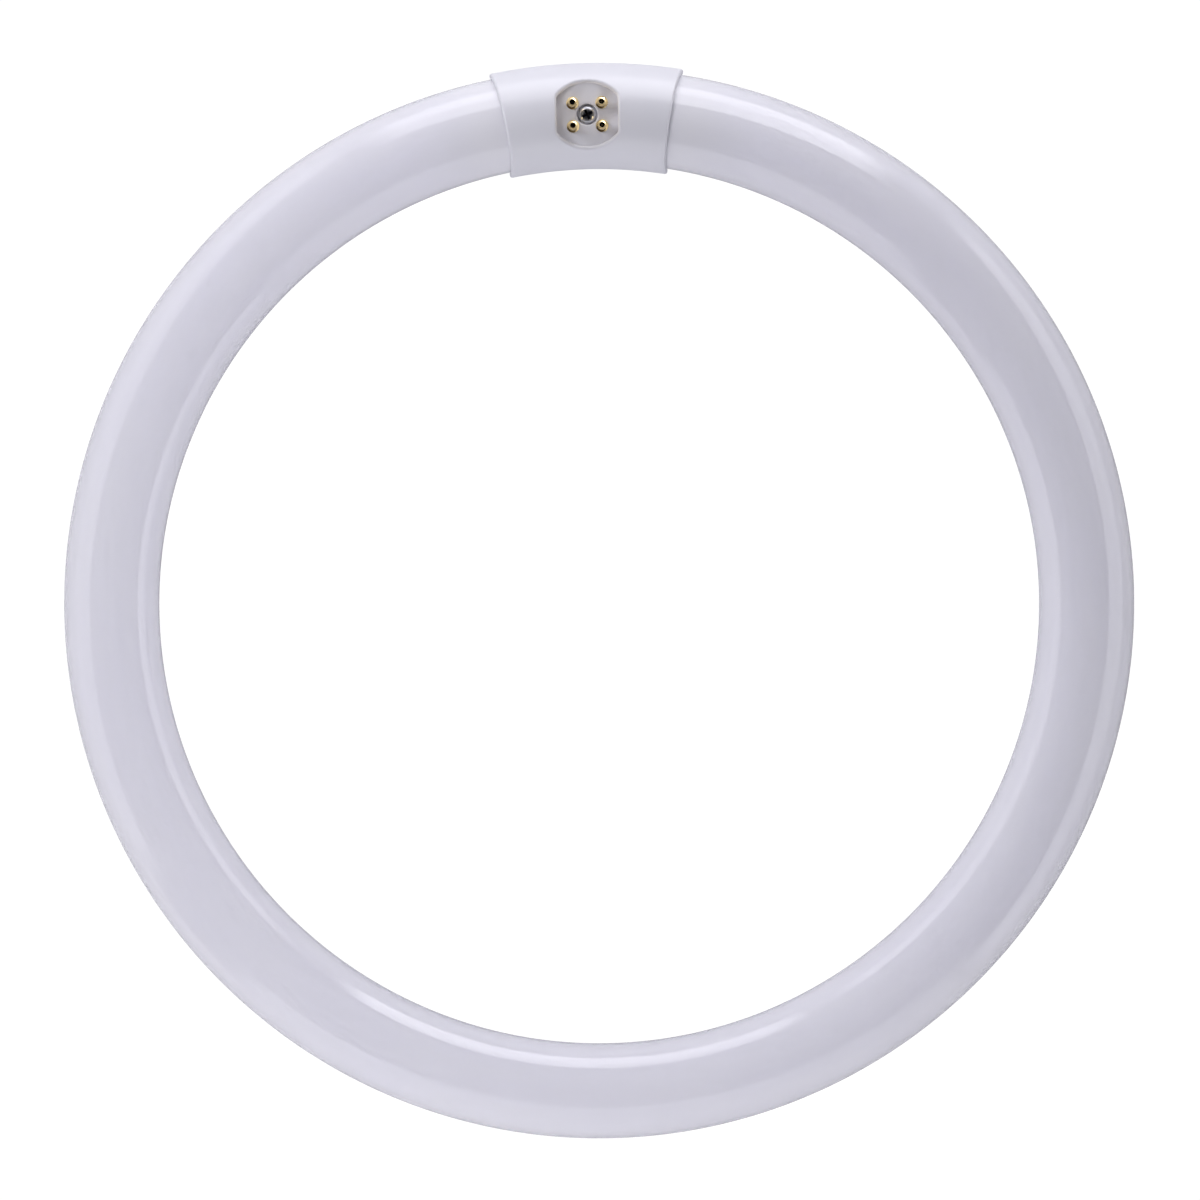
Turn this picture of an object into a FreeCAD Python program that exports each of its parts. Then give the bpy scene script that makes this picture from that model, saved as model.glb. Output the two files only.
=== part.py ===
import FreeCAD, Part
import math
import os

import Sketcher
from FreeCAD import Rotation, Vector

# A ring-shaped fluorescent tube lying flat, with the ring's axis on Z, the connector cap towards +Y
# and the four contact pins pointing up. Z = 0 is the surface under the rear of the cap.

# Driving dimensions, in millimetres and degrees
SIZES = {
    "ring_outer_diameter": 292.0,
    "tube_diameter": 26.0,
    "tube_end_round": 3.5,
    "tube_end_clearance": 0.5,
    "stem_depth": 6.0,
    "stem_flare": 2.2,
    "stem_floor_margin": 1.3,
    "exhaust_tip_wire_gap": 0.65,
    "exhaust_tip_reach": 3.0,
    "exhaust_tip_round": 1.6,
    "cap_length": 48.2,
    "cap_clearance": 0.25,
    "cap_wall": 1.25,
    "cap_end_draft": 6.5,
    "cap_edge_round": 0.7,
    "lip_height": 1.0,
    "lip_thickness": 0.55,
    "lip_clearance": 0.1,
    "lip_end_gap": 2.0,
    "recess_width": 16.7,
    "recess_height": 17.2,
    "recess_side_length": 9.6,
    "recess_end_depth": 1.2,
    "recess_floor_thickness": 3.0,
    "recess_wall": 1.2,
    "recess_corner_round": 1.2,
    "recess_rim_round": 0.8,
    "pin_spacing_x": 7.92,
    "pin_spacing_y": 6.35,
    "pin_diameter": 2.4,
    "pin_length": 6.8,
    "pin_tip_round": 0.5,
    "pin_tip_hole_diameter": 1.5,
    "pin_tip_hole_depth": 2.0,
    "pin_web": 2.4,
    "pin_flange_diameter": 3.4,
    "pin_flange_thickness": 0.5,
    "pin_shank_diameter": 1.9,
    "pin_shank_clearance": 0.05,
    "pin_rivet_diameter": 2.8,
    "pin_rivet_thickness": 0.5,
    "pin_bore_diameter": 1.0,
    "wire_diameter": 0.6,
    "wire_bend_radius": 3.0,
    "wire_end_gap": 0.4,
    "screw_head_diameter": 4.8,
    "screw_head_height": 1.5,
    "screw_head_round": 1.1,
    "screw_head_clearance": 0.45,
    "screw_shank_diameter": 2.6,
    "screw_shank_clearance": 0.05,
    "screw_length": 12.0,
    "screw_point_length": 1.5,
    "cross_span": 3.0,
    "cross_slot_width": 0.9,
    "cross_depth": 1.1,
    "cross_taper": 12.0,
    "cross_turn": 25.0,
    "counterbore_depth": 1.5,
    "counterbore_rim_round": 0.35,
    "boss_wall": 1.3,
    "boss_hole_spare": 1.0,
}

# The numbers by which a sketch knows its own axes and the points of a line or an arc
HORIZONTAL_AXIS_INDEX = -1
VERTICAL_AXIS_INDEX = -2
START_INDEX = 1
END_INDEX = 2
CENTRE_INDEX = 3

QUARTER_TURN = math.pi / 2
HALF_TURN = math.pi
FULL_CIRCLE = 360


class Formula:
    """A size worked out from the sheet, kept both as the text that drives a property and as a number."""

    def __init__(self, text, value):
        self.text = text
        self.value = value

    def __add__(self, other):
        other = as_formula(other)
        return Formula(f"({self.text} + {other.text})", self.value + other.value)

    def __sub__(self, other):
        other = as_formula(other)
        return Formula(f"({self.text} - {other.text})", self.value - other.value)

    def __mul__(self, other):
        other = as_formula(other)
        return Formula(f"({self.text} * {other.text})", self.value * other.value)

    def __truediv__(self, other):
        other = as_formula(other)
        return Formula(f"({self.text} / {other.text})", self.value / other.value)

    def __neg__(self):
        return Formula(f"(0 - {self.text})", -self.value)


def as_formula(size):
    return size if isinstance(size, Formula) else Formula(repr(size), size)


def sine(angle):
    return Formula(f"sin({angle.text})", math.sin(math.radians(angle.value)))


def cosine(angle):
    return Formula(f"cos({angle.text})", math.cos(math.radians(angle.value)))


def tangent(angle):
    return Formula(f"tan({angle.text})", math.tan(math.radians(angle.value)))


def square_root(size):
    return Formula(f"sqrt({size.text})", math.sqrt(size.value))


def smaller(first, second):
    return Formula(f"min({first.text}; {second.text})", min(first.value, second.value))


def arc_angle(length, radius):
    """The angle, in degrees, that an arc of this length takes up."""
    return length / radius * (180 / math.pi)


def chord_angle(half_chord, radius):
    """The angle, in degrees, whose sine is this half chord over this radius."""
    ratio = half_chord / radius
    text = f"(asin({ratio.text}) / 1 deg)"
    return Formula(text, math.degrees(math.asin(ratio.value)))


doc = FreeCAD.newDocument("circular_tube")
sheet = doc.addObject("Spreadsheet::Sheet", "dims")
for row, (name, number) in enumerate(SIZES.items(), start=1):
    sheet.set(f"A{row}", name)
    sheet.set(f"B{row}", str(number))
    sheet.setAlias(f"B{row}", name)
doc.recompute()


def dim(name):
    return Formula(f"dims.{name}", SIZES[name])


# Sizes worked out from the driving dimensions
ZERO = Formula("0", 0.0)
CUT_MARGIN = 1.0
ANGLE_MARGIN = 1.0
FILLET_SHARE = 0.8
TUBE_RADIUS = dim("tube_diameter") / 2
RING_RADIUS = dim("ring_outer_diameter") / 2 - TUBE_RADIUS
CAP_INNER_RADIUS = TUBE_RADIUS + dim("cap_clearance")
CAP_OUTER_RADIUS = CAP_INNER_RADIUS + dim("cap_wall")
CAP_END_ANGLE = arc_angle(dim("cap_length") / 2, RING_RADIUS)
LIP_END_ANGLE = arc_angle(dim("cap_length") / 2 - dim("lip_end_gap"), RING_RADIUS)
BLOCK_HALF_WIDTH = dim("recess_width") / 2 + dim("recess_wall")
TUBE_END_ANGLE = chord_angle(BLOCK_HALF_WIDTH + dim("tube_end_clearance"), RING_RADIUS - TUBE_RADIUS)
RECESS_HALF_HEIGHT = dim("recess_height") / 2
RECESS_END_RIM = square_root(CAP_OUTER_RADIUS * CAP_OUTER_RADIUS - RECESS_HALF_HEIGHT * RECESS_HALF_HEIGHT)
FLOOR_HEIGHT = RECESS_END_RIM - dim("recess_end_depth")
FLOOR_UNDERSIDE = FLOOR_HEIGHT - dim("recess_floor_thickness")
SCREW_SEAT = FLOOR_HEIGHT - dim("counterbore_depth")
COUNTERBORE_RADIUS = dim("screw_head_diameter") / 2 + dim("screw_head_clearance")
SCREW_HOLE_RADIUS = dim("screw_shank_diameter") / 2 + dim("screw_shank_clearance")
WIRE_RADIUS = dim("wire_diameter") / 2
STEM_FLOOR_RADIUS = dim("pin_spacing_y") / 2 + WIRE_RADIUS + dim("stem_floor_margin")
STEM_MOUTH_RADIUS = STEM_FLOOR_RADIUS + dim("stem_flare")
EXHAUST_TIP_RADIUS = dim("pin_spacing_y") / 2 - WIRE_RADIUS - dim("exhaust_tip_wire_gap")
PIN_DISTANCE = square_root(dim("pin_spacing_x") * dim("pin_spacing_x") / 4
                           + dim("pin_spacing_y") * dim("pin_spacing_y") / 4)
PIN_FLANGE_GAP = PIN_DISTANCE - dim("pin_flange_diameter") / 2 - COUNTERBORE_RADIUS
PIN_REAR = dim("recess_floor_thickness") + dim("pin_rivet_thickness")
PIN_BORE_TOP = dim("pin_length") - dim("pin_tip_hole_depth") - dim("pin_web")


def bind(feature, prop, formula):
    feature.setExpression(prop, as_formula(formula).text)


def new_body(name):
    body = doc.addObject("PartDesign::Body", name)
    body.Label = name
    return body


def lift(body, x, y, z):
    """Place a body, given the point of the ring's own level frame where its origin goes."""
    bind(body, "Placement.Base.x", x)
    bind(body, "Placement.Base.y", y)
    bind(body, "Placement.Base.z", CAP_OUTER_RADIUS + z)


def origin_feature(body, role):
    return next(item for item in body.Origin.OriginFeatures if item.Role == role)


def new_sketch(body, name, plane):
    sketch = body.newObject("Sketcher::SketchObject", name)
    sketch.AttachmentSupport = [(origin_feature(body, plane), "")]
    sketch.MapMode = "FlatFace"
    return sketch


def shift_sketch(sketch, x, y, z):
    bind(sketch, "AttachmentOffset.Base.x", x)
    bind(sketch, "AttachmentOffset.Base.y", y)
    bind(sketch, "AttachmentOffset.Base.z", z)


def turn_sketch(sketch, axis, angle):
    sketch.AttachmentOffset.Rotation = Rotation(axis, angle.value)
    bind(sketch, "AttachmentOffset.Rotation.Angle", angle)


def bound_constraint(sketch, formula, kind, *where):
    index = sketch.addConstraint(Sketcher.Constraint(kind, *where, formula.value))
    sketch.setExpression(f"Constraints[{index}]", formula.text)


def fix_x(sketch, geometry, point, x):
    if x is ZERO:
        sketch.addConstraint(Sketcher.Constraint("PointOnObject", geometry, point, VERTICAL_AXIS_INDEX))
    else:
        bound_constraint(sketch, x, "DistanceX", geometry, point)


def fix_y(sketch, geometry, point, y):
    if y is ZERO:
        sketch.addConstraint(Sketcher.Constraint("PointOnObject", geometry, point, HORIZONTAL_AXIS_INDEX))
    else:
        bound_constraint(sketch, y, "DistanceY", geometry, point)


def join(sketch, first, first_point, second, second_point):
    sketch.addConstraint(Sketcher.Constraint("Coincident", first, first_point, second, second_point))


def spot(x, y):
    return Vector(x.value, y.value, 0)


def draw_polygon(sketch, corners):
    """A closed outline of straight lines between corners given as pairs of formulas."""
    lines = []
    for here, there in zip(corners, corners[1:] + corners[:1]):
        lines.append(sketch.addGeometry(Part.LineSegment(spot(*here), spot(*there))))
    for line, following, (x, y) in zip(lines, lines[1:] + lines[:1], corners):
        join(sketch, line, END_INDEX, following, START_INDEX)
        fix_x(sketch, line, START_INDEX, x)
        fix_y(sketch, line, START_INDEX, y)


def draw_circle(sketch, x, y, radius):
    circle = sketch.addGeometry(Part.Circle(spot(x, y), Vector(0, 0, 1), radius.value))
    fix_x(sketch, circle, CENTRE_INDEX, x)
    fix_y(sketch, circle, CENTRE_INDEX, y)
    bound_constraint(sketch, radius, "Radius", circle)


def draw_arc(sketch, x, y, radius, first_angle, last_angle):
    """An arc whose centre and radius are bound, and whose ends are left to what they join."""
    whole = Part.Circle(spot(x, y), Vector(0, 0, 1), radius.value)
    arc = sketch.addGeometry(Part.ArcOfCircle(whole, first_angle, last_angle))
    fix_x(sketch, arc, CENTRE_INDEX, x)
    fix_y(sketch, arc, CENTRE_INDEX, y)
    bound_constraint(sketch, radius, "Radius", arc)
    return arc


def draw_segment(sketch, x, radius, height, side):
    """The part of a disc above (side 1) or below (side -1) a level chord; the centre is on the axis."""
    reach = math.acos(height.value * side / radius.value)
    middle = side * QUARTER_TURN
    arc = draw_arc(sketch, x, ZERO, radius, middle - reach, middle + reach)
    ends = sketch.Geometry[arc]
    chord = sketch.addGeometry(Part.LineSegment(ends.EndPoint, ends.StartPoint))
    join(sketch, arc, END_INDEX, chord, START_INDEX)
    join(sketch, chord, END_INDEX, arc, START_INDEX)
    fix_y(sketch, chord, START_INDEX, height)
    if height is ZERO:
        fix_y(sketch, chord, END_INDEX, height)
    else:
        sketch.addConstraint(Sketcher.Constraint("Horizontal", chord))


def turned(body, kind, sketch, name, axis, angle):
    """A Revolution or a Groove, spread evenly to both sides of its sketch."""
    feature = body.newObject(f"PartDesign::{kind}", name)
    feature.Profile = sketch
    feature.ReferenceAxis = (sketch, [axis])
    feature.Midplane = True
    bind(feature, "Angle", angle)
    return feature


def extruded(body, kind, sketch, name, length, side="One side", reverse=False):
    """A Pad or a Pocket of a set length."""
    feature = body.newObject(f"PartDesign::{kind}", name)
    feature.Profile = sketch
    feature.SideType = side
    feature.Reversed = reverse
    bind(feature, "Length", length)
    return feature


def mirrored(body, name, originals):
    """Repeat features on the other side of the plane that halves the cap."""
    feature = body.newObject("PartDesign::Mirrored", name)
    feature.Originals = originals
    feature.MirrorPlane = (origin_feature(body, "YZ_Plane"), [""])
    body.Tip = feature
    return feature


def rounded(body, name, radius, wall, is_wanted):
    """Round the edges that a test picks out, as far as the wall beside them allows."""
    doc.recompute()
    base = body.Tip
    edges = [f"Edge{n}" for n, edge in enumerate(base.Shape.Edges, start=1) if is_wanted(edge)]
    feature = body.newObject("PartDesign::Fillet", name)
    feature.Base = (base, edges)
    bind(feature, "Radius", smaller(radius, wall * FILLET_SHARE))
    return feature


def is_close(first, second, tolerance=0.01):
    return abs(first - second) < tolerance


def mid_point(edge):
    middle = (edge.FirstParameter + edge.LastParameter) / 2
    return edge.valueAt(middle)


def is_circle(edge, radius):
    return isinstance(edge.Curve, Part.Circle) and is_close(edge.Curve.Radius, radius.value)


def ring_offset(point):
    """How far a point lies from the tube's centre line, outwards and upwards."""
    return math.hypot(point.x, point.y) - RING_RADIUS.value, point.z


def make_glass_tube():
    """The bent tube with, at each end, a sunk stem that ends in a sealed exhaust tip."""
    body = new_body("glass_tube")
    section = new_sketch(body, "tube_section", "YZ_Plane")
    draw_circle(section, -RING_RADIUS, ZERO, TUBE_RADIUS)
    sweep = as_formula(FULL_CIRCLE) - TUBE_END_ANGLE * 2
    turned(body, "Revolution", section, "bent_tube", "V_Axis", sweep)
    rounded(body, "end_shoulders", dim("tube_end_round"), TUBE_RADIUS - STEM_MOUTH_RADIUS,
            lambda edge: is_circle(edge, TUBE_RADIUS))

    funnel = new_sketch(body, "stem_outline", "XY_Plane")
    place_at_tube_end(funnel)
    outside = as_formula(-CUT_MARGIN)
    depth = dim("stem_depth")
    draw_polygon(funnel, [
        (outside, ZERO), (outside, STEM_MOUTH_RADIUS), (ZERO, STEM_MOUTH_RADIUS),
        (depth, STEM_FLOOR_RADIUS), (depth, ZERO)])
    stem = turned(body, "Groove", funnel, "stem_funnel", "H_Axis", FULL_CIRCLE)

    stub = new_sketch(body, "exhaust_tip_outline", "XY_Plane")
    place_at_tube_end(stub)
    root = depth + CUT_MARGIN
    tip = -dim("exhaust_tip_reach")
    draw_polygon(stub, [(root, ZERO), (root, EXHAUST_TIP_RADIUS), (tip, EXHAUST_TIP_RADIUS), (tip, ZERO)])
    exhaust = turned(body, "Revolution", stub, "exhaust_tip", "H_Axis", FULL_CIRCLE)
    mirrored(body, "other_stem", [stem, exhaust])
    rounded(body, "exhaust_tip_ends", dim("exhaust_tip_round"), EXHAUST_TIP_RADIUS, is_exhaust_tip_edge)
    lift(body, ZERO, ZERO, ZERO)
    return body


def place_at_tube_end(sketch):
    """Put a level sketch at the tube's right end, with its x axis going into the glass."""
    shift_sketch(sketch, RING_RADIUS * sine(TUBE_END_ANGLE), RING_RADIUS * cosine(TUBE_END_ANGLE), ZERO)
    turn_sketch(sketch, Vector(0, 0, 1), -TUBE_END_ANGLE)


def is_exhaust_tip_edge(edge):
    """The free end of an exhaust tip, which lies nearer to the cap's middle than the end of the tube."""
    nearer = RING_RADIUS * sine(TUBE_END_ANGLE) - dim("exhaust_tip_reach") / 2
    return is_circle(edge, EXHAUST_TIP_RADIUS) and abs(edge.Curve.Center.x) < nearer.value


def add_cap_shell(body, side):
    """Half of the cap's round shell: above the ring's level with side 1, below it with side -1."""
    outer = new_sketch(body, "outer_half_section", "YZ_Plane")
    draw_segment(outer, RING_RADIUS, CAP_OUTER_RADIUS, ZERO, side)
    turned(body, "Revolution", outer, "outer_form", "V_Axis", CAP_END_ANGLE * 2)

    wedge = new_sketch(body, "end_draft_outline", "XZ_Plane")
    shift_sketch(wedge, RING_RADIUS * sine(CAP_END_ANGLE), ZERO, -RING_RADIUS * cosine(CAP_END_ANGLE))
    turn_sketch(wedge, Vector(0, 1, 0), -CAP_END_ANGLE)
    top = (CAP_OUTER_RADIUS + CUT_MARGIN) * side
    lean = -tangent(dim("cap_end_draft")) * (CAP_OUTER_RADIUS + CUT_MARGIN)
    beyond = as_formula(CUT_MARGIN)
    draw_polygon(wedge, [(ZERO, ZERO), (lean, top), (beyond, top), (beyond, ZERO)])
    width = CAP_OUTER_RADIUS * 2 + CUT_MARGIN * 2
    draft = extruded(body, "Pocket", wedge, "end_draft", width, side="Symmetric")
    mirrored(body, "other_end_draft", [draft])

    hollow = new_sketch(body, "inner_half_section", "YZ_Plane")
    draw_segment(hollow, RING_RADIUS, CAP_INNER_RADIUS, ZERO, side)
    turned(body, "Groove", hollow, "hollow", "V_Axis", CAP_END_ANGLE * 2 + ANGLE_MARGIN)
    rounded(body, "end_edges", dim("cap_edge_round"), dim("cap_wall"), is_cap_end_edge)


def is_on_cap(point):
    outwards, upwards = ring_offset(point)
    return is_close(math.hypot(outwards, upwards), CAP_OUTER_RADIUS.value)


def is_cap_end_edge(edge):
    """The outer edges of the two drafted end faces, each of which has its middle at the crown."""
    point = mid_point(edge)
    angle = math.degrees(math.atan2(abs(point.x), point.y))
    at_crown = is_close(abs(point.z), CAP_OUTER_RADIUS.value)
    return is_on_cap(point) and at_crown and angle > CAP_END_ANGLE.value / 2


def draw_lip(sketch, grow):
    """The section of the two lips just outside the bore, or with grow, of the rebates that take them."""
    height = dim("lip_height") + grow
    inner = CAP_INNER_RADIUS - grow
    outer = CAP_INNER_RADIUS + dim("lip_thickness") + grow
    foot = as_formula(-CUT_MARGIN / 2)
    for side in (1, -1):
        near = RING_RADIUS + inner * side
        far = RING_RADIUS + outer * side
        draw_polygon(sketch, [(near, foot), (far, foot), (far, height), (near, height)])


def make_cap_front():
    """The front shell, with the sunk recess whose floor carries the pins and the screw."""
    body = new_body("cap_front")
    add_cap_shell(body, 1)

    block = new_sketch(body, "recess_block_section", "YZ_Plane")
    draw_segment(block, RING_RADIUS, CAP_INNER_RADIUS + dim("cap_wall") / 2, FLOOR_UNDERSIDE, 1)
    extruded(body, "Pad", block, "recess_block", BLOCK_HALF_WIDTH * 2, side="Symmetric")

    recess = new_sketch(body, "recess_outline", "XY_Plane")
    shift_sketch(recess, ZERO, RING_RADIUS, FLOOR_HEIGHT)
    draw_recess(recess)
    extruded(body, "Pocket", recess, "recess", CAP_OUTER_RADIUS - FLOOR_HEIGHT + CUT_MARGIN, reverse=True)

    seat = new_sketch(body, "counterbore_outline", "XY_Plane")
    shift_sketch(seat, ZERO, RING_RADIUS, FLOOR_HEIGHT)
    draw_circle(seat, ZERO, ZERO, COUNTERBORE_RADIUS)
    extruded(body, "Pocket", seat, "counterbore", dim("counterbore_depth"))

    holes = new_sketch(body, "floor_holes_outline", "XY_Plane")
    shift_sketch(holes, ZERO, RING_RADIUS, FLOOR_HEIGHT)
    draw_circle(holes, ZERO, ZERO, SCREW_HOLE_RADIUS)
    for x, y in pin_places():
        draw_circle(holes, x, y, dim("pin_shank_diameter") / 2 + dim("pin_shank_clearance"))
    extruded(body, "Pocket", holes, "floor_holes", dim("recess_floor_thickness") + CUT_MARGIN)

    rebate = new_sketch(body, "rebate_section", "YZ_Plane")
    draw_lip(rebate, dim("lip_clearance"))
    rebate_angle = LIP_END_ANGLE + arc_angle(dim("lip_clearance"), RING_RADIUS)
    turned(body, "Groove", rebate, "lip_rebate", "V_Axis", rebate_angle * 2)

    side = dim("recess_side_length") / 2
    rounded(body, "recess_corners", dim("recess_corner_round"), side, is_recess_corner)
    rounded(body, "recess_rim", dim("recess_rim_round"), dim("recess_end_depth"), is_recess_rim)
    rounded(body, "counterbore_rim", dim("counterbore_rim_round"), PIN_FLANGE_GAP, is_counterbore_rim)
    lift(body, ZERO, ZERO, ZERO)
    return body


def draw_recess(sketch):
    """Two straight sides joined by a shallow arc at the top and the bottom."""
    half_width = dim("recess_width") / 2
    rise = (dim("recess_height") - dim("recess_side_length")) / 2
    radius = (half_width * half_width + rise * rise) / (rise * 2)
    centre = radius - RECESS_HALF_HEIGHT
    spread = math.asin(half_width.value / radius.value)
    upper = draw_arc(sketch, ZERO, -centre, radius, QUARTER_TURN - spread, QUARTER_TURN + spread)
    lower = draw_arc(sketch, ZERO, centre, radius, -QUARTER_TURN - spread, -QUARTER_TURN + spread)
    upper_ends = sketch.Geometry[upper]
    lower_ends = sketch.Geometry[lower]
    left = sketch.addGeometry(Part.LineSegment(upper_ends.EndPoint, lower_ends.StartPoint))
    right = sketch.addGeometry(Part.LineSegment(lower_ends.EndPoint, upper_ends.StartPoint))
    join(sketch, upper, END_INDEX, left, START_INDEX)
    join(sketch, left, END_INDEX, lower, START_INDEX)
    join(sketch, lower, END_INDEX, right, START_INDEX)
    join(sketch, right, END_INDEX, upper, START_INDEX)
    for line, x in ((left, -half_width), (right, half_width)):
        sketch.addConstraint(Sketcher.Constraint("Vertical", line))
        fix_x(sketch, line, START_INDEX, x)


def is_recess_corner(edge):
    """The upright edges where the straight sides of the recess meet its arcs."""
    point = mid_point(edge)
    upright = isinstance(edge.Curve, Part.Line) and is_close(abs(edge.Curve.Direction.z), 1)
    at_side = is_close(abs(point.x), dim("recess_width").value / 2)
    return upright and at_side and point.z > FLOOR_HEIGHT.value


def is_recess_rim(edge):
    """The edge all round the recess where its walls reach the cap's surface."""
    point = mid_point(edge)
    within_sides = abs(point.x) < BLOCK_HALF_WIDTH.value
    return is_on_cap(point) and within_sides and point.z > FLOOR_HEIGHT.value


def is_counterbore_rim(edge):
    """The upper edge of the sunk seat that the screw head lies in."""
    return is_circle(edge, COUNTERBORE_RADIUS) and is_close(edge.Curve.Center.z, FLOOR_HEIGHT.value)


def make_cap_rear():
    """The rear shell, with the screw boss and the lip that locates the front shell."""
    body = new_body("cap_rear")
    add_cap_shell(body, -1)

    boss = new_sketch(body, "boss_outline", "XY_Plane")
    shift_sketch(boss, ZERO, RING_RADIUS, FLOOR_UNDERSIDE)
    draw_circle(boss, ZERO, ZERO, SCREW_HOLE_RADIUS + dim("boss_wall"))
    height = FLOOR_UNDERSIDE + CAP_INNER_RADIUS + dim("cap_wall") / 2
    extruded(body, "Pad", boss, "boss", height, reverse=True)

    pilot = new_sketch(body, "pilot_hole_outline", "XY_Plane")
    shift_sketch(pilot, ZERO, RING_RADIUS, FLOOR_UNDERSIDE)
    draw_circle(pilot, ZERO, ZERO, SCREW_HOLE_RADIUS)
    plate_below_head = SCREW_SEAT - FLOOR_UNDERSIDE
    depth = dim("screw_length") - plate_below_head + dim("boss_hole_spare")
    extruded(body, "Pocket", pilot, "pilot_hole", depth)

    lip = new_sketch(body, "lip_section", "YZ_Plane")
    draw_lip(lip, ZERO)
    turned(body, "Revolution", lip, "lip", "V_Axis", LIP_END_ANGLE * 2)
    lift(body, ZERO, ZERO, ZERO)
    return body


def pin_places():
    """The four pin axes, seen from above and from the middle of the recess, in reading order."""
    half_x = dim("pin_spacing_x") / 2
    half_y = dim("pin_spacing_y") / 2
    return [(-half_x, half_y), (half_x, half_y), (-half_x, -half_y), (half_x, -half_y)]


def make_contact_pin(name, x, y):
    """A brass pin riveted through the recess floor, open at its tip and bored from behind for its wire."""
    body = new_body(name)
    outline = new_sketch(body, "pin_outline", "XZ_Plane")
    flange = dim("pin_flange_diameter") / 2
    flange_top = dim("pin_flange_thickness")
    pin = dim("pin_diameter") / 2
    shank = dim("pin_shank_diameter") / 2
    rivet = dim("pin_rivet_diameter") / 2
    bore = dim("pin_bore_diameter") / 2
    hole = dim("pin_tip_hole_diameter") / 2
    underside = -dim("recess_floor_thickness")
    tip = dim("pin_length")
    draw_polygon(outline, [
        (bore, -PIN_REAR), (rivet, -PIN_REAR), (rivet, underside), (shank, underside), (shank, ZERO),
        (flange, ZERO), (flange, flange_top), (pin, flange_top), (pin, tip), (hole, tip),
        (hole, tip - dim("pin_tip_hole_depth")), (ZERO, tip - dim("pin_tip_hole_depth")),
        (ZERO, PIN_BORE_TOP), (bore, PIN_BORE_TOP)])
    turned(body, "Revolution", outline, "turned_pin", "V_Axis", FULL_CIRCLE)
    rounded(body, "tip_edge", dim("pin_tip_round"), pin - hole,
            lambda edge: is_circle(edge, pin) and is_close(edge.Curve.Center.z, tip.value))
    lift(body, x, RING_RADIUS + y, FLOOR_HEIGHT)
    return body


def make_lead_wire(name, x, y):
    """The wire from the sunk floor of the nearer stem, bent up into the rear bore of its pin."""
    body = new_body(name)
    side = 1 if x.value > 0 else -1
    along = (RING_RADIUS + y) * sine(TUBE_END_ANGLE) - x * side * cosine(TUBE_END_ANGLE)
    length = along + dim("stem_depth")
    bend = dim("wire_bend_radius")
    top = FLOOR_HEIGHT + PIN_BORE_TOP - dim("wire_end_gap")

    path = new_sketch(body, "wire_path", "XZ_Plane")
    level = path.addGeometry(Part.LineSegment(spot(length, ZERO), spot(bend, ZERO)))
    turn = Part.Circle(spot(bend, bend), Vector(0, 0, 1), bend.value)
    curve = path.addGeometry(Part.ArcOfCircle(turn, HALF_TURN, HALF_TURN + QUARTER_TURN))
    upright = path.addGeometry(Part.LineSegment(spot(ZERO, bend), spot(ZERO, top)))
    fix_x(path, level, START_INDEX, length)
    fix_y(path, level, START_INDEX, ZERO)
    fix_x(path, curve, CENTRE_INDEX, bend)
    fix_y(path, curve, CENTRE_INDEX, bend)
    join(path, level, END_INDEX, curve, END_INDEX)
    fix_y(path, level, END_INDEX, ZERO)
    path.addConstraint(Sketcher.Constraint("Vertical", curve, END_INDEX, curve, CENTRE_INDEX))
    join(path, curve, START_INDEX, upright, START_INDEX)
    path.addConstraint(Sketcher.Constraint("Horizontal", curve, START_INDEX, curve, CENTRE_INDEX))
    fix_x(path, upright, END_INDEX, ZERO)
    fix_y(path, upright, END_INDEX, top)

    section = new_sketch(body, "wire_section", "YZ_Plane")
    shift_sketch(section, ZERO, ZERO, length)
    draw_circle(section, ZERO, ZERO, WIRE_RADIUS)
    wire = body.newObject("PartDesign::AdditivePipe", "bent_wire")
    wire.Profile = section
    wire.Spine = (path, [])
    lift(body, x, RING_RADIUS + y, ZERO)
    heading = -TUBE_END_ANGLE if side > 0 else TUBE_END_ANGLE + FULL_CIRCLE / 2
    body.Placement.Rotation = Rotation(Vector(0, 0, 1), heading.value)
    bind(body, "Placement.Rotation.Angle", heading)
    return body


def make_cap_screw():
    """The cross-head screw that clamps the front shell to the boss of the rear shell."""
    body = new_body("cap_screw")
    outline = new_sketch(body, "screw_outline", "XZ_Plane")
    head = dim("screw_head_diameter") / 2
    top = dim("screw_head_height")
    shank = dim("screw_shank_diameter") / 2
    point = -dim("screw_length")
    shoulder = point + dim("screw_point_length")
    draw_polygon(outline, [
        (ZERO, point), (shank, shoulder), (shank, ZERO), (head, ZERO), (head, top), (ZERO, top)])
    turned(body, "Revolution", outline, "turned_screw", "V_Axis", FULL_CIRCLE)
    rounded(body, "head_edge", dim("screw_head_round"), top,
            lambda edge: is_circle(edge, head) and is_close(edge.Curve.Center.z, top.value))

    cross = new_sketch(body, "cross_outline", "XY_Plane")
    shift_sketch(cross, ZERO, ZERO, top)
    turn_sketch(cross, Vector(0, 0, 1), dim("cross_turn"))
    arm = dim("cross_span") / 2
    half_slot = dim("cross_slot_width") / 2
    draw_polygon(cross, [
        (arm, -half_slot), (arm, half_slot), (half_slot, half_slot), (half_slot, arm),
        (-half_slot, arm), (-half_slot, half_slot), (-arm, half_slot), (-arm, -half_slot),
        (-half_slot, -half_slot), (-half_slot, -arm), (half_slot, -arm), (half_slot, -half_slot)])
    drive = extruded(body, "Pocket", cross, "cross_drive", dim("cross_depth"))
    bind(drive, "TaperAngle", -dim("cross_taper"))
    lift(body, ZERO, RING_RADIUS, SCREW_SEAT)
    return body


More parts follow.
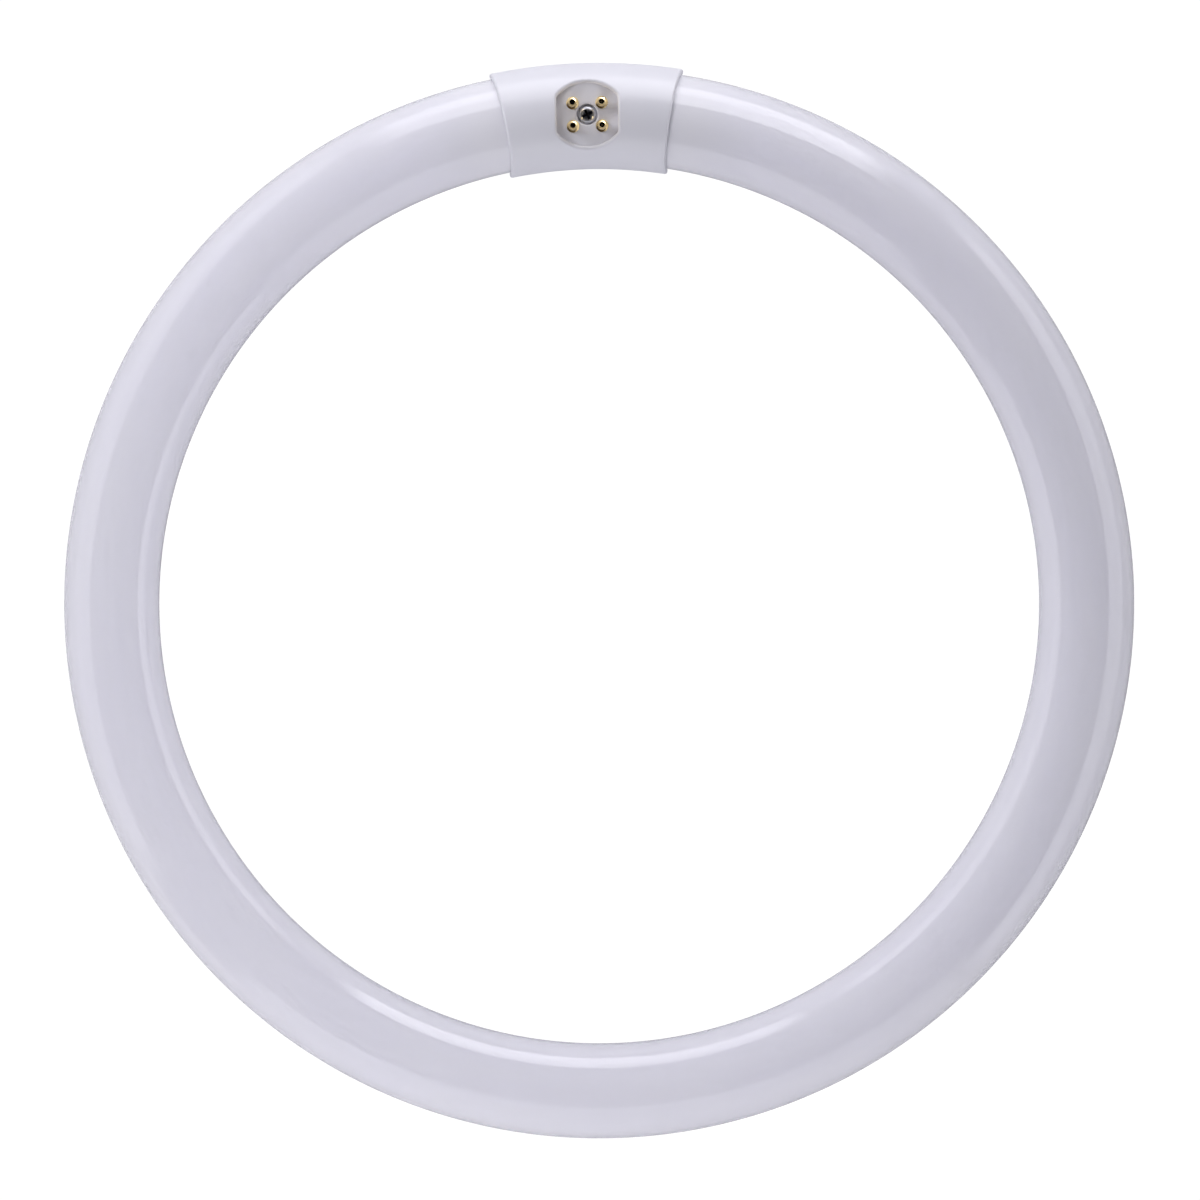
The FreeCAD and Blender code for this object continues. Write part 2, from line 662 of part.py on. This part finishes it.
def check(objects):
    """Stop before anything is written if a feature failed, a cut missed or a piece is not one solid."""
    for item in objects:
        if "Invalid" in item.State or "Error" in item.State:
            raise RuntimeError(f"{item.Name}: {item.State}")
        if item.isDerivedFrom("PartDesign::Feature") and (item.Shape.isNull() or not item.Shape.isValid()):
            raise RuntimeError(f"{item.Name}: no valid shape")
        if item.TypeId in ("PartDesign::Pocket", "PartDesign::Groove"):
            if item.Shape.Volume >= item.BaseFeature.Shape.Volume:
                raise RuntimeError(f"{item.Name}: cuts nothing")


def write_parts(pieces):
    os.makedirs("parts", exist_ok=True)
    for piece in pieces:
        shape = piece.Shape
        if shape.isNull() or not shape.isValid() or len(shape.Solids) != 1:
            raise RuntimeError(f"{piece.Label}: not one valid solid")
        shape.exportStep(f"parts/{piece.Label}.step")
        print(f"{piece.Label}: {shape.Volume:.1f} cubic mm")


pieces = [make_glass_tube(), make_cap_front(), make_cap_rear(), make_cap_screw()]
for number, (x, y) in enumerate(pin_places(), start=1):
    pieces.append(make_contact_pin(f"contact_pin_{number}", x, y))
    pieces.append(make_lead_wire(f"lead_wire_{number}", x, y))
doc.recompute()
check(doc.Objects)
write_parts(pieces)
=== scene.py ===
import math
from collections import namedtuple

import bmesh
import bpy
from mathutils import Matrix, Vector


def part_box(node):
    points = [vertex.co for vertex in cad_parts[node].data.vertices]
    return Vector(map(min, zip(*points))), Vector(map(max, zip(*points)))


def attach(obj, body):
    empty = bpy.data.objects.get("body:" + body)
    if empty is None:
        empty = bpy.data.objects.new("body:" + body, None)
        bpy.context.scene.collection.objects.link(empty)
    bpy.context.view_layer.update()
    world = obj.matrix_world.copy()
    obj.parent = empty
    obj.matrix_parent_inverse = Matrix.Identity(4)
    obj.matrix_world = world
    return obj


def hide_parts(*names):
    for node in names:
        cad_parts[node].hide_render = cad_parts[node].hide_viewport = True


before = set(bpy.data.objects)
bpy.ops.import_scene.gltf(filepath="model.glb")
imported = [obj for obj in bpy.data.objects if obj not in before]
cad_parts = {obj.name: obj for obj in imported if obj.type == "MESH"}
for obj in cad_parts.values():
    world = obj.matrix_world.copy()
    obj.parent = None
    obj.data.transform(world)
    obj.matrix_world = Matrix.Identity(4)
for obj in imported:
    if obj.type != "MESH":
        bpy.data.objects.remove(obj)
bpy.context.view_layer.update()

# A ring-shaped fluorescent tube, lying flat and looked at from straight above. Lengths are in metres.
MM = 0.001

# The ring, measured on the frame
tube_low, tube_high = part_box("glass_tube")
RING_OUTER = tube_high.x
TUBE_RADIUS = (tube_high.z - tube_low.z) / 2
RING_RADIUS = RING_OUTER - TUBE_RADIUS
TUBE_LEVEL = (tube_low.z + tube_high.z) / 2

PIN_NODES = [f"contact_pin_{number}" for number in (1, 2, 3, 4)]
WIRE_NODES = [f"lead_wire_{number}" for number in (1, 2, 3, 4)]

# The pins and the screw, measured on the frame
pin_low, pin_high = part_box("contact_pin_2")
PIN_X = (pin_low.x + pin_high.x) / 2
PIN_Y = (pin_low.y + pin_high.y) / 2 - RING_RADIUS
PIN_TIP = pin_high.z
SCREW_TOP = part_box("cap_screw")[1].z

# Along the ring from the cap's middle: how far the cap shades the glass, and where light passes freely again;
# between the two the glass's painted light fades out
SHADE_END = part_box("cap_front")[1].x
GLOW_START = SHADE_END + 25 * MM


# Building blocks of the materials

def new_material(name):
    """A material with one principled shader, its node tree and the shader."""
    material = bpy.data.materials.new(name)
    material.use_nodes = True
    tree = material.node_tree
    shader = next(node for node in tree.nodes if node.type == "BSDF_PRINCIPLED")
    return material, tree, shader


def add(tree, kind, **settings):
    """A new node; a setting is a property of the node or, failing that, the value of an input socket."""
    node = tree.nodes.new(kind)
    for name, value in settings.items():
        if hasattr(node, name):
            setattr(node, name, value)
        else:
            node.inputs[name.replace("_", " ").title()].default_value = value
    return node


def connect(tree, value, socket):
    """Link an output to a socket, or set the socket to a plain value."""
    if isinstance(value, bpy.types.NodeSocket):
        tree.links.new(value, socket)
    else:
        socket.default_value = value


def math_node(tree, operation, first, second=0.0):
    node = add(tree, "ShaderNodeMath", operation=operation)
    for socket, value in zip(node.inputs, (first, second)):
        connect(tree, value, socket)
    return node.outputs[0]


def map_range(tree, value, low, high, to_low, to_high, smooth=False):
    node = add(tree, "ShaderNodeMapRange")
    if smooth:
        node.interpolation_type = "SMOOTHSTEP"
    connect(tree, value, node.inputs["Value"])
    limits = {"From Min": low, "From Max": high, "To Min": to_low, "To Max": to_high}
    for name, number in limits.items():
        connect(tree, number, node.inputs[name])
    return node.outputs["Result"]


def position_parts(tree):
    """The place of a point on the object, whole and as its three parts."""
    coordinates = add(tree, "ShaderNodeTexCoord")
    parts = add(tree, "ShaderNodeSeparateXYZ")
    tree.links.new(coordinates.outputs["Object"], parts.inputs[0])
    return coordinates.outputs["Object"], parts.outputs


def length_of(tree, across, along):
    """The distance of a point from an axis, given its two offsets."""
    first = math_node(tree, "MULTIPLY", across, across)
    second = math_node(tree, "MULTIPLY", along, along)
    square = math_node(tree, "ADD", first, second)
    return math_node(tree, "SQRT", square)


def noise(tree, vector, scale, detail):
    node = add(tree, "ShaderNodeTexNoise", Scale=scale, Detail=detail)
    tree.links.new(vector, node.inputs["Vector"])
    return node.outputs["Fac"]


def colour_between(tree, factor, first, second):
    node = add(tree, "ShaderNodeMix", data_type="RGBA")
    tree.links.new(factor, node.inputs["Factor"])
    colours = [socket for socket in node.inputs if socket.type == "RGBA"]
    for colour, socket in zip((first, second), colours):
        connect(tree, colour if isinstance(colour, bpy.types.NodeSocket) else (*colour, 1), socket)
    return next(socket for socket in node.outputs if socket.type == "RGBA")


def bump(tree, shader, height, strength, distance):
    node = add(tree, "ShaderNodeBump", Strength=strength, Distance=distance)
    tree.links.new(height, node.inputs["Height"])
    tree.links.new(node.outputs[0], shader.inputs["Normal"])


# The stretch of a noise's values over which a roughness goes from its low to its high end
CLOUD_LOW = 0.3
CLOUD_HIGH = 0.7


def uneven_roughness(tree, shader, cloud, low, high):
    rough = map_range(tree, cloud, CLOUD_LOW, CLOUD_HIGH, low, high)
    tree.links.new(rough, shader.inputs["Roughness"])


def metal_with_painted_shade(tree, shader, painted_shade, surface, dark):
    """Metal in its surface colour, turning to a dark painted shade and no longer metallic where the painted
    shade mask is 1.
    """
    colour = colour_between(tree, painted_shade, surface, dark)
    tree.links.new(colour, shader.inputs["Base Color"])
    metal = map_range(tree, painted_shade, 0.0, 1.0, 1.0, 0.0)
    tree.links.new(metal, shader.inputs["Metallic"])


# The glass: the two ends of a faint cloud, close to the cap and elsewhere. The colour close to the cap is
# lighter: painted light that makes up for the shade the cap casts on the glass
CAP_SIDE_PAINTED_LIGHT_GLASS = ((0.90, 0.895, 0.95), (0.94, 0.935, 0.98))
GLOWING_GLASS = ((0.805, 0.797, 0.96), (0.845, 0.837, 0.99))
FLOW_STRETCH = 5.0
SCATTER_LENGTH = 30 * MM
GLASS_IOR = 1.5


def along_tube(tree, stretch):
    """Coordinates that run along the bent tube, drawn out by a factor; their join is under the cap."""
    _, parts = position_parts(tree)
    backward = math_node(tree, "MULTIPLY", parts["Y"], -1.0)
    angle = math_node(tree, "ARCTAN2", parts["X"], backward)
    length = math_node(tree, "MULTIPLY", angle, RING_RADIUS / stretch)
    radius = length_of(tree, parts["X"], parts["Y"])
    node = add(tree, "ShaderNodeCombineXYZ")
    for value, socket in zip((length, radius, parts["Z"]), node.inputs):
        tree.links.new(value, socket)
    return node.outputs[0]


def distance_from_cap(tree):
    """How far along the ring a point lies from the middle of the cap."""
    _, parts = position_parts(tree)
    angle = math_node(tree, "ARCTAN2", parts["X"], parts["Y"])
    angle = math_node(tree, "ABSOLUTE", angle)
    return math_node(tree, "MULTIPLY", angle, RING_RADIUS)


def coated_glass():
    """Clear glass over a white phosphor layer, which is a little uneven along the bend and painted lighter
    close to the cap against the cap's shade.
    """
    material, tree, shader = new_material("coated_glass")
    flow = along_tube(tree, FLOW_STRETCH)
    cloud = noise(tree, flow, scale=120.0, detail=3.0)
    away_from_cap = map_range(tree, distance_from_cap(tree), SHADE_END, GLOW_START, 0.0, 1.0, smooth=True)
    # painted light: close to the cap the glass takes a lighter colour that makes up for the cap's shade
    painted_light_near_cap = colour_between(tree, cloud, *CAP_SIDE_PAINTED_LIGHT_GLASS)
    glowing = colour_between(tree, cloud, *GLOWING_GLASS)
    colour = colour_between(tree, away_from_cap, painted_light_near_cap, glowing)
    tree.links.new(colour, shader.inputs["Base Color"])
    shader.inputs["Roughness"].default_value = 0.06
    shader.inputs["IOR"].default_value = GLASS_IOR
    shader.inputs["Coat Weight"].default_value = 1.0
    shader.inputs["Coat Roughness"].default_value = 0.03
    shader.inputs["Coat IOR"].default_value = GLASS_IOR
    tree.links.new(away_from_cap, shader.inputs["Subsurface Weight"])
    shader.inputs["Subsurface Radius"].default_value = (1.0, 1.0, 1.0)
    shader.inputs["Subsurface Scale"].default_value = SCATTER_LENGTH
    wave = noise(tree, flow, scale=60.0, detail=1.0)
    bump(tree, shader, wave, strength=0.04, distance=0.2 * MM)
    return material


# The cap
CAP_WHITE = ((0.84, 0.84, 0.89), (0.87, 0.87, 0.92))


def cap_plastic():
    """White moulded plastic with a soft gloss and a faint grain."""
    material, tree, shader = new_material("cap_plastic")
    place, _ = position_parts(tree)
    cloud = noise(tree, place, scale=90.0, detail=2.0)
    colour = colour_between(tree, cloud, *CAP_WHITE)
    tree.links.new(colour, shader.inputs["Base Color"])
    uneven_roughness(tree, shader, cloud, low=0.28, high=0.33)
    shader.inputs["IOR"].default_value = 1.6
    shader.inputs["Specular IOR Level"].default_value = 1.0
    grain = noise(tree, place, scale=1800.0, detail=2.0)
    bump(tree, shader, grain, strength=0.06, distance=0.05 * MM)
    return material


# The pins: painted shade darkens their bore out to a soft edge and from a soft start below the tip, but for a
# painted highlight at a wire's end
BRASS = ((0.92, 0.70, 0.34), (0.96, 0.77, 0.42))
BORE_SHADE_COLOUR = (0.012, 0.009, 0.006)
BORE_EDGE = (0.78 * MM, 0.88 * MM)
BORE_START = (0.05 * MM, 0.6 * MM)
WIRE_GLINT_EDGE = (0.2 * MM, 0.3 * MM)


def pin_brass():
    """Bright turned brass with painted shade inside the open tips, and a painted highlight of a wire's end in
    the two on the right.
    """
    material, tree, shader = new_material("pin_brass")
    place, parts = position_parts(tree)
    aside = math_node(tree, "ABSOLUTE", parts["X"])
    aside = math_node(tree, "SUBTRACT", aside, PIN_X)
    above = math_node(tree, "SUBTRACT", parts["Y"], RING_RADIUS)
    above = math_node(tree, "ABSOLUTE", above)
    above = math_node(tree, "SUBTRACT", above, PIN_Y)
    distance = length_of(tree, aside, above)
    depth = math_node(tree, "SUBTRACT", PIN_TIP, parts["Z"])
    # painted shade inside the bore
    inside = map_range(tree, distance, *BORE_EDGE, 1.0, 0.0)
    sunk = map_range(tree, depth, *BORE_START, 0.0, 1.0)
    painted_shade = math_node(tree, "MULTIPLY", inside, sunk)
    # painted highlight: the bore's axis stays bright brass in the two pins on the right, as a wire's end
    # glinting
    at_axis = map_range(tree, distance, *WIRE_GLINT_EDGE, 1.0, 0.0)
    on_right = math_node(tree, "GREATER_THAN", parts["X"], 0.0)
    painted_wire_glint = math_node(tree, "MULTIPLY", at_axis, on_right)
    painted_shade = math_node(tree, "SUBTRACT", painted_shade, painted_wire_glint)
    painted_shade = math_node(tree, "MAXIMUM", painted_shade, 0.0)

    cloud = noise(tree, place, scale=500.0, detail=2.0)
    bright = colour_between(tree, cloud, *BRASS)
    metal_with_painted_shade(tree, shader, painted_shade, bright, BORE_SHADE_COLOUR)
    uneven_roughness(tree, shader, cloud, low=0.26, high=0.36)
    return material


# The screw: painted shade darkens its cross out to a soft edge and from a soft start below the top, and more
# painted shade round the cross fades outwards
ZINC = ((0.78, 0.8, 0.83), (0.88, 0.9, 0.93))
STEEL_SHADE_ROUND_CROSS = (0.19, 0.21, 0.27)
CROSS_SHADE_COLOUR = (0.012, 0.014, 0.022)
CROSS_EDGE = (1.6 * MM, 1.7 * MM)
CROSS_START = (0.08 * MM, 0.4 * MM)
CROSS_SHADE_FADE = (0.8 * MM, 1.6 * MM)


def screw_steel():
    """Zinc plated steel, with painted shade round the cross and down in it."""
    material, tree, shader = new_material("screw_steel")
    place, parts = position_parts(tree)
    above = math_node(tree, "SUBTRACT", parts["Y"], RING_RADIUS)
    distance = length_of(tree, parts["X"], above)
    depth = math_node(tree, "SUBTRACT", SCREW_TOP, parts["Z"])
    # painted shade down in the cross
    inside = map_range(tree, distance, *CROSS_EDGE, 1.0, 0.0)
    sunk = map_range(tree, depth, *CROSS_START, 0.0, 1.0)
    painted_shade = math_node(tree, "MULTIPLY", inside, sunk)

    cloud = noise(tree, place, scale=700.0, detail=3.0)
    bright = colour_between(tree, cloud, *ZINC)
    # painted shade: the head darkens towards the cross, fading outwards
    shade_round_cross = map_range(tree, distance, *CROSS_SHADE_FADE, 1.0, 0.0, smooth=True)
    plated = colour_between(tree, shade_round_cross, bright, STEEL_SHADE_ROUND_CROSS)
    metal_with_painted_shade(tree, shader, painted_shade, plated, CROSS_SHADE_COLOUR)
    uneven_roughness(tree, shader, cloud, low=0.38, high=0.48)
    return material


# The wires
WIRE_GREY = ((0.45, 0.4, 0.36), (0.58, 0.53, 0.48))


def wire_metal():
    """Bare drawn wire, dull."""
    material, tree, shader = new_material("wire_metal")
    place, _ = position_parts(tree)
    cloud = noise(tree, place, scale=900.0, detail=2.0)
    colour = colour_between(tree, cloud, *WIRE_GREY)
    tree.links.new(colour, shader.inputs["Base Color"])
    shader.inputs["Metallic"].default_value = 1.0
    uneven_roughness(tree, shader, cloud, low=0.3, high=0.42)
    return material


def paint(nodes, material):
    for node in nodes:
        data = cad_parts[node].data
        data.materials.clear()
        data.materials.append(material)


# The ends of the glass inside the cap
END_GAP_HALF = 10.05 * MM
END_ROUND = 3.5 * MM
STEM_DEPTH = 6.0 * MM
STEM_MOUTH = 6.975 * MM
STEM_FLOOR = 4.775 * MM
EXHAUST_RADIUS = 2.225 * MM
EXHAUST_REACH = 3.0 * MM
EXHAUST_ROUND = 1.6 * MM
END_ANGLE = math.asin(END_GAP_HALF / (RING_RADIUS - TUBE_RADIUS))

# How finely the glass is divided
AROUND = 96
ALONG = 360
ROUND_STEPS = 8
SHARP_ANGLE = math.radians(40)


def end_sections(side):
    """One end, from the exhaust tip over the stem and out to the shoulder; side is 1 for the right end."""
    angle = math.pi / 2 - END_ANGLE * side
    out = Vector((math.cos(angle), math.sin(angle), 0))
    inwards = Vector((math.sin(angle), -math.cos(angle), 0)) * side
    profile = []
    for step in range(1, ROUND_STEPS + 1):
        turn = math.pi / 2 * step / ROUND_STEPS
        flat = EXHAUST_RADIUS - EXHAUST_ROUND
        profile.append((-EXHAUST_REACH + EXHAUST_ROUND * (1 - math.cos(turn)),
                        flat + EXHAUST_ROUND * math.sin(turn)))
    profile.append((STEM_DEPTH, EXHAUST_RADIUS))
    profile.append((STEM_DEPTH, STEM_FLOOR))
    profile.append((0.0, STEM_MOUTH))
    for step in range(ROUND_STEPS):
        turn = math.pi / 2 * step / ROUND_STEPS
        profile.append((END_ROUND * (1 - math.cos(turn)),
                        TUBE_RADIUS - END_ROUND + END_ROUND * math.sin(turn)))
    return [(out * RING_RADIUS + inwards * depth, out, radius) for depth, radius in profile]


def tube_sections():
    """The circles that the glass surface runs through, from the right end's tip round to the left one's."""
    right_end = end_sections(1)
    left_end = end_sections(-1)
    shoulder = END_ROUND / RING_RADIUS
    first = math.pi / 2 - END_ANGLE - shoulder
    last = math.pi / 2 + END_ANGLE + shoulder - 2 * math.pi
    body = []
    for step in range(ALONG + 1):
        angle = first + (last - first) * step / ALONG
        out = Vector((math.cos(angle), math.sin(angle), 0))
        body.append((out * RING_RADIUS, out, TUBE_RADIUS))
    return right_end + body + left_end[::-1]


def make_glass_tube():
    """The glass as one closed skin through its sections."""
    skin = bmesh.new()
    level = Vector((0, 0, TUBE_LEVEL))
    loops = []
    for centre, out, radius in tube_sections():
        loop = []
        for step in range(AROUND):
            turn = 2 * math.pi * step / AROUND
            offset = out * math.cos(turn) + Vector((0, 0, math.sin(turn)))
            loop.append(skin.verts.new(centre + level + offset * radius))
        loops.append(loop)
    for near, far in zip(loops, loops[1:]):
        for step in range(AROUND):
            following = (step + 1) % AROUND
            skin.faces.new((near[step], near[following], far[following], far[step]))
    skin.faces.new(loops[0])
    skin.faces.new(loops[-1])
    bmesh.ops.recalc_face_normals(skin, faces=skin.faces)
    mesh = bpy.data.meshes.new("glass_skin")
    skin.to_mesh(mesh)
    skin.free()
    mesh.shade_smooth()
    mesh.set_sharp_from_angle(angle=SHARP_ANGLE)
    piece = bpy.data.objects.new("glass_skin", mesh)
    bpy.context.scene.collection.objects.link(piece)
    mesh.materials.append(coated_glass())
    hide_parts("glass_tube")
    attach(piece, "root")


# The floor
FLOOR_SIDE = 60.0
GROUND_LEVEL = -0.5 * MM
GROUND_BRIGHTNESS = 1.05
PAPER_LEVEL = 0.0
PAPER_COLOUR = (0.82, 0.82, 0.82)


def ground_white():
    """A plain white that shines by itself."""
    material = bpy.data.materials.new("ground_white")
    material.use_nodes = True
    tree = material.node_tree
    tree.nodes.clear()
    light = add(tree, "ShaderNodeEmission", Strength=GROUND_BRIGHTNESS)
    light.inputs["Color"].default_value = (1, 1, 1, 1)
    output = add(tree, "ShaderNodeOutputMaterial")
    tree.links.new(light.outputs[0], output.inputs["Surface"])
    return material


def paper_white():
    material, _, shader = new_material("paper_white")
    shader.inputs["Base Color"].default_value = (*PAPER_COLOUR, 1)
    shader.inputs["Roughness"].default_value = 0.9
    return material


def make_plane(name, level, material):
    half = FLOOR_SIDE / 2
    mesh = bpy.data.meshes.new(name)
    corners = [(-half, -half, level), (half, -half, level), (half, half, level), (-half, half, level)]
    mesh.from_pydata(corners, [], [(0, 1, 2, 3)])
    plane = bpy.data.objects.new(name, mesh)
    bpy.context.scene.collection.objects.link(plane)
    mesh.materials.append(material)
    return plane


def make_floor():
    """A white ground that only the camera sees, and just above it a paper that the camera doesn't see."""
    ground = make_plane("ground", GROUND_LEVEL, ground_white())
    ground.visible_diffuse = False
    ground.visible_glossy = False
    ground.visible_transmission = False
    ground.visible_shadow = False
    paper = make_plane("paper", PAPER_LEVEL, paper_white())
    paper.visible_camera = False


# The studio: a dim room, pale near the horizon beyond the cap
ROOM = 0.02
BEYOND_CAP = 0.6
PALE_TOP = math.radians(20)
PALE_SOFTNESS = math.radians(3)
STUDIO_TINT = (1.0, 0.992, 1.05)

# Softboxes that stand on the floor round the ring, which mirrors them. A heading is in degrees. The left
# share is the part of its brightness that a softbox has at its left end, as seen from the ring. The fade is
# the part of its width over which it grows dark at either end.
Softbox = namedtuple("Softbox", "heading width height power left_share")
SOFTBOX_DISTANCE = 0.45
SOFTBOX_FADE = 0.12
SOFTBOXES = {
    "cap_softbox": Softbox(heading=85, width=0.56, height=0.37, power=1.42, left_share=0.58),
    "right_softbox": Softbox(heading=0, width=1.0, height=0.25, power=0.8, left_share=1.0),
    "left_softbox": Softbox(heading=165, width=1.0, height=0.27, power=0.63, left_share=1.0),
    "front_softbox": Softbox(heading=270, width=1.0, height=0.42, power=0.85, left_share=1.0),
}

# Round lamps that light the ring but are not mirrored in it. Three stand round it and are turned to its
# middle, and a small one above its middle is turned to the front left.
Lamp = namedtuple("Lamp", "heading power")
LAMP_DISTANCE = 0.45
LAMP_HEIGHT = 0.45
LAMP_WIDTH = 0.3
LAMPS = {
    "rear_left_lamp": Lamp(heading=135, power=0.76),
    "front_left_lamp": Lamp(heading=225, power=0.85),
    "front_lamp": Lamp(heading=270, power=0.48),
}
INNER_PLACE = Vector((0.035, 0.035, 0.12))
INNER_TARGET = Vector((-0.1, -0.1, 0))
INNER_WIDTH = 0.1
INNER_POWER = 0.036

# A lamp that lights the brass pins alone, with no light thrown on from them
GLINT_PLACE = Vector((0.22, 0.52, 0.5))
GLINT_WIDTH = 0.3
GLINT_POWER = 14.0


def make_world():
    """A dim room whose light grows towards the cap's side, up to a soft edge above the horizon."""
    world = bpy.data.worlds.new("studio")
    bpy.context.scene.world = world
    world.use_nodes = True
    tree = world.node_tree
    tree.nodes.clear()
    coordinates = add(tree, "ShaderNodeTexCoord")
    parts = add(tree, "ShaderNodeSeparateXYZ")
    tree.links.new(coordinates.outputs["Generated"], parts.inputs[0])
    flat = length_of(tree, parts.outputs["X"], parts.outputs["Y"])
    cap_side = math_node(tree, "DIVIDE", parts.outputs["Y"], flat)
    facing = math_node(tree, "MAXIMUM", cap_side, 0.0)
    beyond = math_node(tree, "MULTIPLY", facing, facing)
    full_below = math.sin(PALE_TOP - PALE_SOFTNESS)
    none_above = math.sin(PALE_TOP + PALE_SOFTNESS)
    level = map_range(tree, parts.outputs["Z"], full_below, none_above, BEYOND_CAP, 0.0, smooth=True)
    beyond = math_node(tree, "MULTIPLY", beyond, level)
    total = math_node(tree, "ADD", beyond, ROOM)

    background = add(tree, "ShaderNodeBackground")
    background.inputs["Color"].default_value = (*STUDIO_TINT, 1)
    tree.links.new(total, background.inputs["Strength"])
    output = add(tree, "ShaderNodeOutputWorld")
    tree.links.new(background.outputs[0], output.inputs["Surface"])


def make_light(name, shape, size, power, place, target):
    """A soft area light that the camera does not see, turned to face a point."""
    data = bpy.data.lights.new(name, "AREA")
    data.shape = shape
    data.size, data.size_y = size
    data.energy = power
    data.color = STUDIO_TINT
    light = bpy.data.objects.new(name, data)
    light.location = place
    light.rotation_euler = (target - place).to_track_quat("-Z", "Y").to_euler()
    light.visible_camera = False
    bpy.context.scene.collection.objects.link(light)
    return light


def make_round_lamp(name, width, power, place, target):
    return make_light(name, "DISK", (width, width), power, place, target)


def heading_vector(degrees):
    heading = math.radians(degrees)
    return Vector((math.cos(heading), math.sin(heading), 0))


def shade_softbox(data, left_share):
    """Let a softbox fade out at both ends and grow steadily dimmer towards its left one."""
    data.use_nodes = True
    tree = data.node_tree
    emission = next(node for node in tree.nodes if node.type == "EMISSION")
    parts = add(tree, "ShaderNodeSeparateXYZ")
    geometry = add(tree, "ShaderNodeNewGeometry")
    tree.links.new(geometry.outputs["Parametric"], parts.inputs[0])
    far_end = math_node(tree, "SUBTRACT", 1.0, parts.outputs["X"])
    nearest = math_node(tree, "MINIMUM", parts.outputs["X"], far_end)
    level = map_range(tree, nearest, 0.0, SOFTBOX_FADE, 0.0, 1.0, smooth=True)
    slope = map_range(tree, parts.outputs["X"], 0.0, 1.0, 1.0, left_share)
    level = math_node(tree, "MULTIPLY", level, slope)
    tree.links.new(level, emission.inputs["Strength"])


def make_softboxes():
    for name, softbox in SOFTBOXES.items():
        middle = Vector((0, 0, softbox.height / 2))
        place = heading_vector(softbox.heading) * SOFTBOX_DISTANCE + middle
        size = (softbox.width, softbox.height)
        light = make_light(name, "RECTANGLE", size, softbox.power, place, middle)
        shade_softbox(light.data, softbox.left_share)


def make_lamps():
    middle = Vector((0, 0, 0))
    lights = []
    for name, lamp in LAMPS.items():
        place = heading_vector(lamp.heading) * LAMP_DISTANCE + Vector((0, 0, LAMP_HEIGHT))
        lights.append(make_round_lamp(name, LAMP_WIDTH, lamp.power, place, middle))
    lights.append(make_round_lamp("inner_lamp", INNER_WIDTH, INNER_POWER, INNER_PLACE, INNER_TARGET))
    for light in lights:
        light.visible_glossy = False


def make_glint():
    pins = bpy.data.collections.new("pins")
    for node in PIN_NODES:
        pins.objects.link(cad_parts[node])
    recess = Vector((0, RING_RADIUS, PIN_TIP))
    glint = make_round_lamp("glint_lamp", GLINT_WIDTH, GLINT_POWER, GLINT_PLACE, recess)
    glint.light_linking.receiver_collection = pins
    glint.data.cycles.max_bounces = 0


# The photograph's frame, in its own pixels, and how far the cap is turned from straight up in it
IMAGE_SIDE = 1200
RING_CENTRE_PX = (599.2, 603.4)
RING_OUTER_PX = 535.0
CAP_TURN = math.radians(1.4)

# The camera, whose sensor is in millimetres as its lens is
CAMERA_DISTANCE = 3.0
SENSOR = 36.0


def make_camera():
    """Straight above, turned and moved so that the ring lies in the frame as photographed."""
    pixel = RING_OUTER / RING_OUTER_PX
    right = Vector((math.cos(CAP_TURN), -math.sin(CAP_TURN), 0))
    up = Vector((math.sin(CAP_TURN), math.cos(CAP_TURN), 0))
    aside = (IMAGE_SIDE / 2 - RING_CENTRE_PX[0]) * pixel
    above = (RING_CENTRE_PX[1] - IMAGE_SIDE / 2) * pixel
    data = bpy.data.cameras.new("camera")
    data.sensor_width = SENSOR
    data.lens = SENSOR * CAMERA_DISTANCE / (IMAGE_SIDE * pixel)
    camera = bpy.data.objects.new("camera", data)
    camera.location = right * aside + up * above + Vector((0, 0, TUBE_LEVEL + CAMERA_DISTANCE))
    camera.rotation_euler = (0, 0, -CAP_TURN)
    bpy.context.scene.collection.objects.link(camera)
    bpy.context.scene.camera = camera


make_glass_tube()
paint(["cap_front", "cap_rear"], cap_plastic())
paint(["cap_screw"], screw_steel())
paint(PIN_NODES, pin_brass())
paint(WIRE_NODES, wire_metal())
make_floor()
make_world()
make_softboxes()
make_lamps()
make_glint()
make_camera()
bpy.context.scene.view_settings.view_transform = "Standard"
